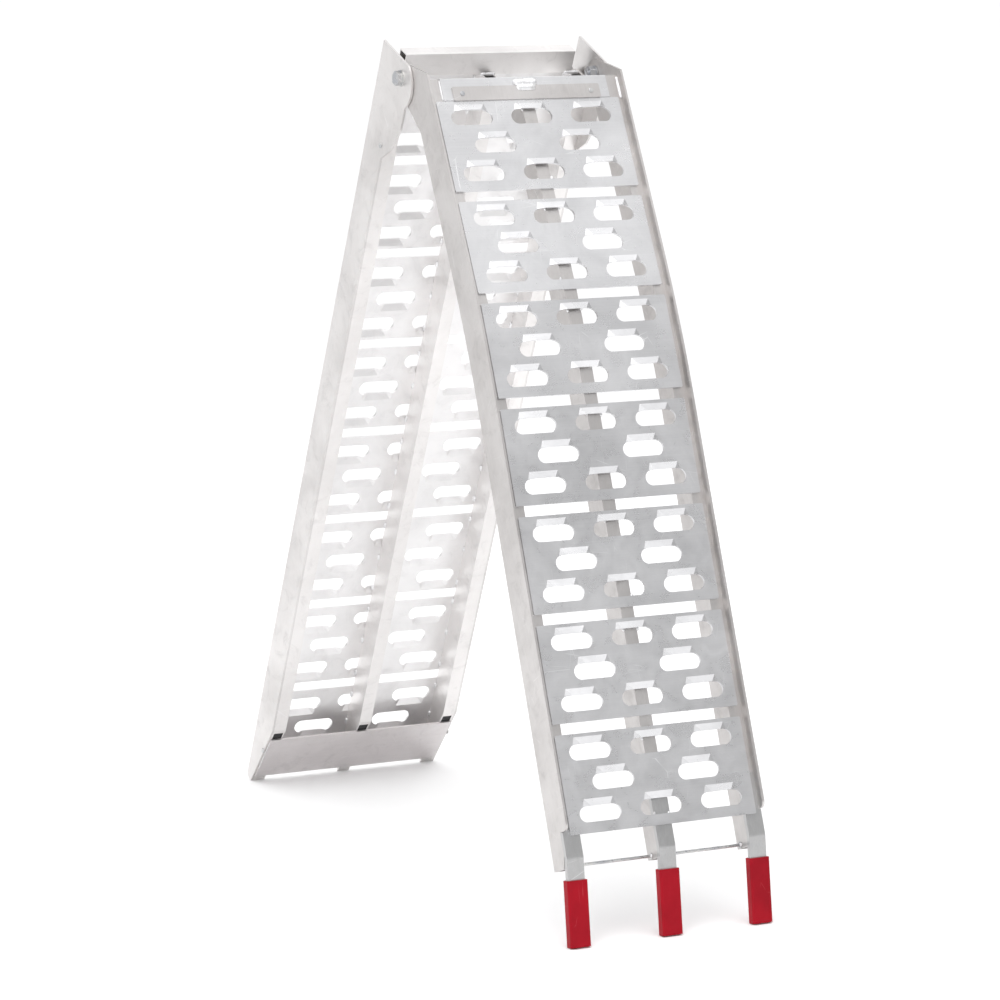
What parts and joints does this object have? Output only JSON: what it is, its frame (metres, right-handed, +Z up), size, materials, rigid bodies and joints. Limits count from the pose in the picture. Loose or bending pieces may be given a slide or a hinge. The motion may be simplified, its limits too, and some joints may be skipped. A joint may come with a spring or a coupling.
{
  "type": "folding loading ramp",
  "caption": "Folding punched-deck aluminium loading ramp standing half folded, with bent capped hook fingers, kerbs, hinge bolts and a bevelled ground end.",
  "frame": {"origin": "on the floor, under the middle of the bounding box in the half-folded rest pose", "axes": "+X across the ramp along the hinge axis, -Y toward the hook half, +Z up"},
  "size_m": [0.302, 0.9469, 1.059],
  "materials": {
    "deck_aluminium": "mill finish, satin",
    "rail_aluminium": "mill finish, satin",
    "zinc_steel": "zinc plated",
    "red_vinyl": "soft gloss",
    "black_plastic": "matte"
  },
  "bodies": {
    "foot_half": {"bevel_plate": "deck_aluminium", "foot_centre_rail": "rail_aluminium", "foot_cross_tube": "rail_aluminium", "foot_deck_plate_1": "deck_aluminium", "foot_deck_plate_2": "deck_aluminium", "foot_deck_plate_3": "deck_aluminium", "foot_deck_plate_4": "deck_aluminium", "foot_deck_plate_5": "deck_aluminium", "foot_deck_plate_6": "deck_aluminium", "foot_deck_plate_7": "deck_aluminium", "foot_deck_plate_8": "deck_aluminium", "foot_side_plate_left": "rail_aluminium", "foot_side_plate_right": "rail_aluminium", "foot_side_rail_left": "rail_aluminium", "foot_side_rail_right": "rail_aluminium", "foot_side_screws": "zinc_steel", "foot_tip_strip": "deck_aluminium", "hinge_bolt_left": "zinc_steel", "hinge_bolt_right": "zinc_steel", "hinge_head_washer_left": "zinc_steel", "hinge_head_washer_right": "zinc_steel", "hinge_nut_left": "zinc_steel", "hinge_nut_right": "zinc_steel", "hinge_nut_washer_left": "zinc_steel", "hinge_nut_washer_right": "zinc_steel", "tube_plug_centre": "black_plastic", "tube_plug_left": "black_plastic", "tube_plug_right": "black_plastic"},
    "hook_half": {"anchor_rod": "zinc_steel", "anchor_rod_washers": "zinc_steel", "finger_cap_centre": "red_vinyl", "finger_cap_left": "red_vinyl", "finger_cap_right": "red_vinyl", "hook_centre_rail": "rail_aluminium", "hook_cover_strip": "deck_aluminium", "hook_cross_tube": "rail_aluminium", "hook_deck_plate_1": "deck_aluminium", "hook_deck_plate_2": "deck_aluminium", "hook_deck_plate_3": "deck_aluminium", "hook_deck_plate_4": "deck_aluminium", "hook_deck_plate_5": "deck_aluminium", "hook_deck_plate_6": "deck_aluminium", "hook_deck_plate_7": "deck_aluminium", "hook_finger_centre": "rail_aluminium", "hook_finger_left": "rail_aluminium", "hook_finger_right": "rail_aluminium", "hook_side_plate_left": "rail_aluminium", "hook_side_plate_right": "rail_aluminium", "hook_side_rail_left": "rail_aluminium", "hook_side_rail_right": "rail_aluminium", "hook_strip_screws": "zinc_steel"}
  },
  "joints": [
    {"name": "fold_hinge", "type": "hinge", "parent": "foot_half", "child": "hook_half", "pos_m": [0, 0.01, 1.0135], "axis": [1, 0, 0], "range_deg": [-130.16, 46.34]}
  ]
}
